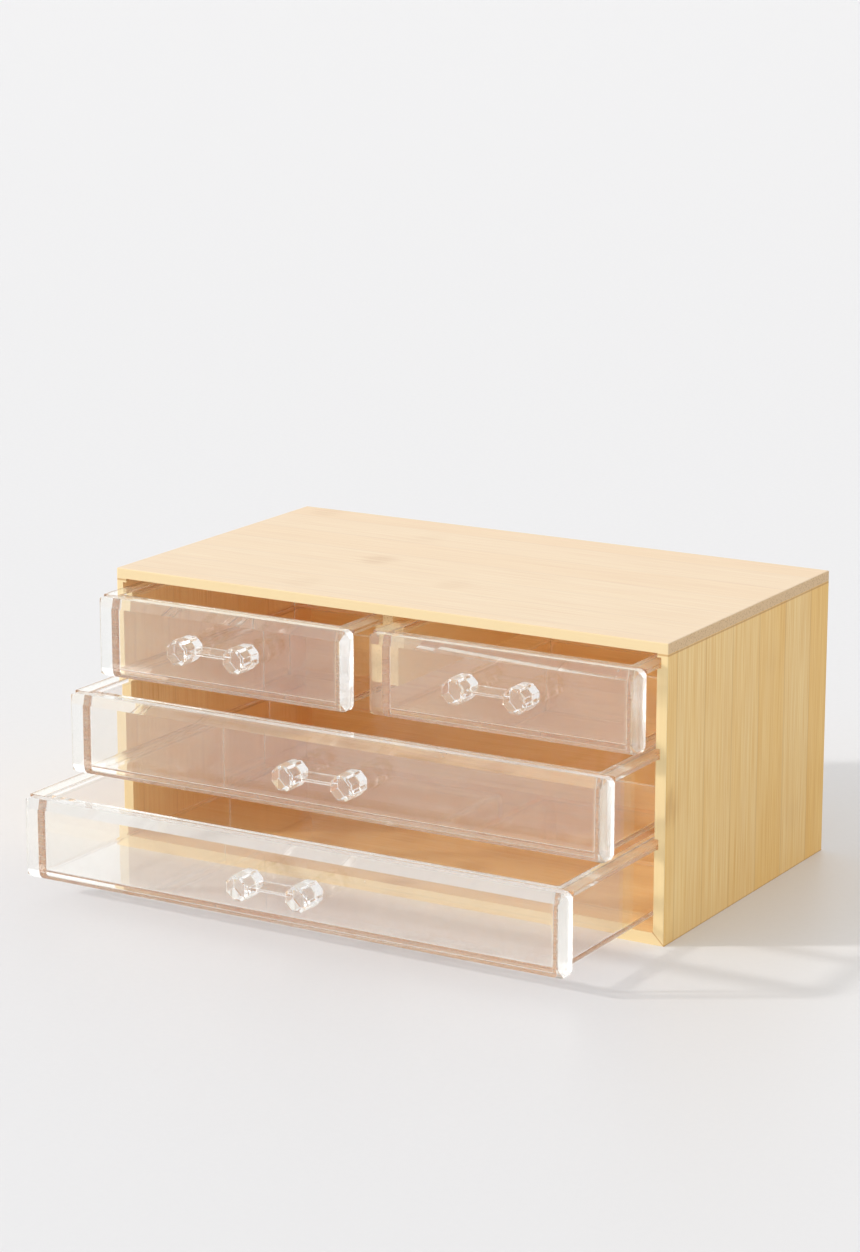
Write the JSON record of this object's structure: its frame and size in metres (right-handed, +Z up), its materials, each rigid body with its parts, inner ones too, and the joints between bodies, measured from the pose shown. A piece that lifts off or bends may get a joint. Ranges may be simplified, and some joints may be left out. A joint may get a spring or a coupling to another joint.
{
  "type": "makeup organizer with drawers",
  "caption": "Low bamboo case, open at the front, with clear plastic drawers in rows that slide out on side runners; bevelled fronts and knob handles.",
  "frame": {"origin": "centre of the bamboo case's underside, halfway between its front and rear edges", "axes": "+Z up, -Y towards the open front where the drawers slide out, +X to the right seen from the front"},
  "size_m": [0.24, 0.2177, 0.113],
  "materials": {
    "bamboo": "satin lacquered laminated bamboo",
    "clear_plastic": "clear polished polystyrene"
  },
  "bodies": {
    "case": {"top_panel": "bamboo", "bottom_panel": "bamboo", "right_side_panel": "bamboo", "left_side_panel": "bamboo", "back_panel": "bamboo", "centre_divider": "bamboo"},
    "top_left_drawer": {"top_left_drawer_tray": "clear_plastic", "top_left_drawer_front": "clear_plastic", "top_left_drawer_handle": "clear_plastic"},
    "top_right_drawer": {"top_right_drawer_tray": "clear_plastic", "top_right_drawer_front": "clear_plastic", "top_right_drawer_handle": "clear_plastic"},
    "middle_drawer": {"middle_drawer_tray": "clear_plastic", "middle_drawer_front": "clear_plastic", "middle_drawer_handle": "clear_plastic"},
    "bottom_drawer": {"bottom_drawer_tray": "clear_plastic", "bottom_drawer_front": "clear_plastic", "bottom_drawer_handle": "clear_plastic"}
  },
  "joints": [
    {"name": "top_left_slide", "type": "slide", "parent": "case", "child": "top_left_drawer", "axis": [0, -1, 0], "range_m": [-0.0134, 0.0836]},
    {"name": "top_right_slide", "type": "slide", "parent": "case", "child": "top_right_drawer", "axis": [0, -1, 0], "range_m": [-0.0101, 0.0869]},
    {"name": "middle_slide", "type": "slide", "parent": "case", "child": "middle_drawer", "axis": [0, -1, 0], "range_m": [-0.0332, 0.0638]},
    {"name": "bottom_slide", "type": "slide", "parent": "case", "child": "bottom_drawer", "axis": [0, -1, 0], "range_m": [-0.0632, 0.0338]}
  ]
}
